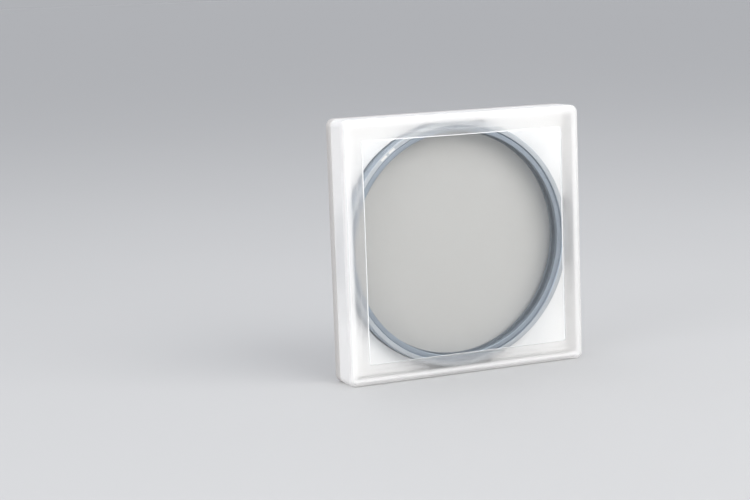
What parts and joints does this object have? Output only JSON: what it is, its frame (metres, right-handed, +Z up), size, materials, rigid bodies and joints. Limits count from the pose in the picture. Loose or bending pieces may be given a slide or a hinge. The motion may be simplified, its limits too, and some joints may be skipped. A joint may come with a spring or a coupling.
{
  "type": "lens filter in hinged case",
  "caption": "Round polarising lens filter with a turning front ring, held on foam in a flat square hinged case with a milky frame and a clear window.",
  "frame": {"origin": "middle of the overall box's bottom face, on the surface that the case stands on", "axes": "+X across the case towards the hinges, +Y through it from the lid's face to the back, +Z up"},
  "size_m": [0.0952, 0.014, 0.091],
  "materials": {
    "case_milky": "milky translucent polypropylene, fine matt texture",
    "window_clear": "polished clear",
    "pin_steel": "plain drawn wire",
    "foam_white": "closed-cell foam",
    "ring_anodised": "satin blue-grey anodised",
    "retainer_anodised": "satin dark anodised",
    "filter_glass": "polished, coated",
    "film_polarising": "grey laminated film",
    "film_retarder": "clear laminated film"
  },
  "bodies": {
    "tray": {"case_base": "case_milky", "hinge_pin_lower": "pin_steel", "hinge_pin_upper": "pin_steel", "corner_pad_lower_left": "foam_white", "corner_pad_lower_right": "foam_white", "corner_pad_upper_left": "foam_white", "corner_pad_upper_right": "foam_white", "base_pad": "foam_white", "rear_mount_ring": "ring_anodised", "snap_ring": "pin_steel"},
    "lid": {"case_lid": "case_milky", "lid_window": "window_clear"},
    "polariser": {"front_ring": "ring_anodised", "glass_retaining_ring": "retainer_anodised", "front_glass": "filter_glass", "polarising_film": "film_polarising", "quarter_wave_film": "film_retarder", "rear_glass": "filter_glass"}
  },
  "joints": [
    {"name": "lid_hinge", "type": "hinge", "parent": "tray", "child": "lid", "pos_m": [0.04565, 0.0027, 0.0455], "axis": [0, 0, 1], "range_deg": [0, 170]},
    {"name": "polariser_turn", "type": "hinge", "parent": "tray", "child": "polariser", "pos_m": [-0.00305, 0, 0.0452], "axis": [0, 1, 0], "continuous": true}
  ]
}
